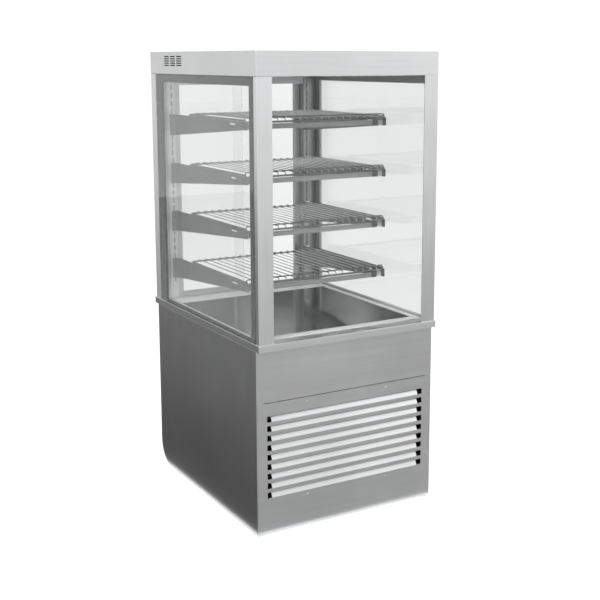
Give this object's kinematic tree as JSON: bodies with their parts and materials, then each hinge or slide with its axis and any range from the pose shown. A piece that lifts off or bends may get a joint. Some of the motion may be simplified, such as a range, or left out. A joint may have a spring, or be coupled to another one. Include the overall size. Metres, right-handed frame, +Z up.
{
  "type": "display case",
  "caption": "Free-standing ambient food display case: glazed upper half with wire racks on slotted rear posts and sliding rear doors, on a stainless plinth with a louvred front panel.",
  "frame": {"origin": "on the floor, under the middle of the counter ledge", "axes": "+X to the customer's right as seen from the front, +Y towards the sliding doors at the back, +Z up"},
  "size_m": [0.6, 0.75, 1.365],
  "materials": {
    "brushed_steel": "satin",
    "galvanised_sheet": "matte",
    "zinc_plated_steel": "satin",
    "chromed_wire": "polished",
    "clear_glass": "clear",
    "dark_border": "matte",
    "grey_plastic": "satin",
    "dark_plastic": "satin",
    "anodised_aluminium": "satin",
    "light_diffuser": "matte",
    "white_casing": "matte",
    "castor_tread": "matte"
  },
  "bodies": {
    "root": {"canopy_light_body": "anodised_aluminium", "canopy_light_diffuser": "light_diffuser", "canopy_shell": "brushed_steel", "canopy_soffit": "galvanised_sheet", "castor_top_plates": "zinc_plated_steel", "counter_ledge": "brushed_steel", "deck_tray": "brushed_steel", "door_bottom_track": "anodised_aluminium", "door_top_track": "anodised_aluminium", "front_cross_rail": "galvanised_sheet", "front_glass": "clear_glass", "front_post_left": "brushed_steel", "front_post_right": "brushed_steel", "led_driver": "white_casing", "light_switch_bezel": "dark_plastic", "louvred_front_panel": "brushed_steel", "mains_cable_gland": "dark_plastic", "plinth_base_pan": "galvanised_sheet", "plinth_side_panel_left": "brushed_steel", "plinth_side_panel_right": "brushed_steel", "rear_access_panel": "brushed_steel", "rear_post_left": "brushed_steel", "rear_post_right": "brushed_steel", "shelf_brackets_left": "brushed_steel", "shelf_brackets_right": "brushed_steel", "side_glass_borders": "dark_border", "side_glass_inner_panes": "clear_glass", "side_glass_left": "clear_glass", "side_glass_right": "clear_glass", "upper_front_panel": "brushed_steel", "well_frame": "brushed_steel"},
    "left_door": {"door_glass_left": "clear_glass", "door_pull_left": "anodised_aluminium"},
    "right_door": {"door_glass_right": "clear_glass", "door_pull_right": "anodised_aluminium"},
    "rack_1": {"wire_rack_1": "chromed_wire", "ticket_strip_1": "grey_plastic", "ticket_strip_caps_1": "dark_plastic"},
    "rack_2": {"wire_rack_2": "chromed_wire", "ticket_strip_2": "grey_plastic", "ticket_strip_caps_2": "dark_plastic"},
    "rack_3": {"wire_rack_3": "chromed_wire", "ticket_strip_3": "grey_plastic", "ticket_strip_caps_3": "dark_plastic"},
    "rack_4": {"wire_rack_4": "chromed_wire", "ticket_strip_4": "grey_plastic", "ticket_strip_caps_4": "dark_plastic"},
    "rocker": {"light_switch_rocker": "dark_plastic"},
    "castor_front_left": {"castor_fork_front_left": "zinc_plated_steel"},
    "wheel_front_left": {"castor_wheel_front_left": "castor_tread"},
    "castor_front_right": {"castor_fork_front_right": "zinc_plated_steel"},
    "wheel_front_right": {"castor_wheel_front_right": "castor_tread"},
    "castor_rear_left": {"castor_fork_rear_left": "zinc_plated_steel"},
    "wheel_rear_left": {"castor_wheel_rear_left": "castor_tread"},
    "castor_rear_right": {"castor_fork_rear_right": "zinc_plated_steel"},
    "wheel_rear_right": {"castor_wheel_rear_right": "castor_tread"}
  },
  "joints": [
    {"name": "left_door_slide", "type": "slide", "parent": "root", "child": "left_door", "axis": [1, 0, 0], "range_m": [0, 0.22]},
    {"name": "right_door_slide", "type": "slide", "parent": "root", "child": "right_door", "axis": [1, 0, 0], "range_m": [-0.22, 0]},
    {"name": "rack_1_lift", "type": "slide", "parent": "root", "child": "rack_1", "axis": [0, 0, 1], "range_m": [0, 0.06]},
    {"name": "rack_2_lift", "type": "slide", "parent": "root", "child": "rack_2", "axis": [0, 0, 1], "range_m": [0, 0.06]},
    {"name": "rack_3_lift", "type": "slide", "parent": "root", "child": "rack_3", "axis": [0, 0, 1], "range_m": [0, 0.06]},
    {"name": "rack_4_lift", "type": "slide", "parent": "root", "child": "rack_4", "axis": [0, 0, 1], "range_m": [0, 0.06]},
    {"name": "rocker_tilt", "type": "hinge", "parent": "root", "child": "rocker", "pos_m": [0.2, 0.364, 1.331], "axis": [1, 0, 0], "range_deg": [0, 20]},
    {"name": "castor_front_left_swivel", "type": "hinge", "parent": "root", "child": "castor_front_left", "pos_m": [-0.238, -0.285, 0.066], "axis": [0, 0, 1], "continuous": true},
    {"name": "wheel_front_left_roll", "type": "hinge", "parent": "castor_front_left", "child": "wheel_front_left", "pos_m": [-0.238, -0.309, 0.025], "axis": [1, 0, 0], "continuous": true},
    {"name": "castor_front_right_swivel", "type": "hinge", "parent": "root", "child": "castor_front_right", "pos_m": [0.238, -0.285, 0.066], "axis": [0, 0, 1], "continuous": true},
    {"name": "wheel_front_right_roll", "type": "hinge", "parent": "castor_front_right", "child": "wheel_front_right", "pos_m": [0.238, -0.309, 0.025], "axis": [1, 0, 0], "continuous": true},
    {"name": "castor_rear_left_swivel", "type": "hinge", "parent": "root", "child": "castor_rear_left", "pos_m": [-0.238, 0.235, 0.066], "axis": [0, 0, 1], "continuous": true},
    {"name": "wheel_rear_left_roll", "type": "hinge", "parent": "castor_rear_left", "child": "wheel_rear_left", "pos_m": [-0.238, 0.211, 0.025], "axis": [1, 0, 0], "continuous": true},
    {"name": "castor_rear_right_swivel", "type": "hinge", "parent": "root", "child": "castor_rear_right", "pos_m": [0.238, 0.235, 0.066], "axis": [0, 0, 1], "continuous": true},
    {"name": "wheel_rear_right_roll", "type": "hinge", "parent": "castor_rear_right", "child": "wheel_rear_right", "pos_m": [0.238, 0.211, 0.025], "axis": [1, 0, 0], "continuous": true}
  ]
}
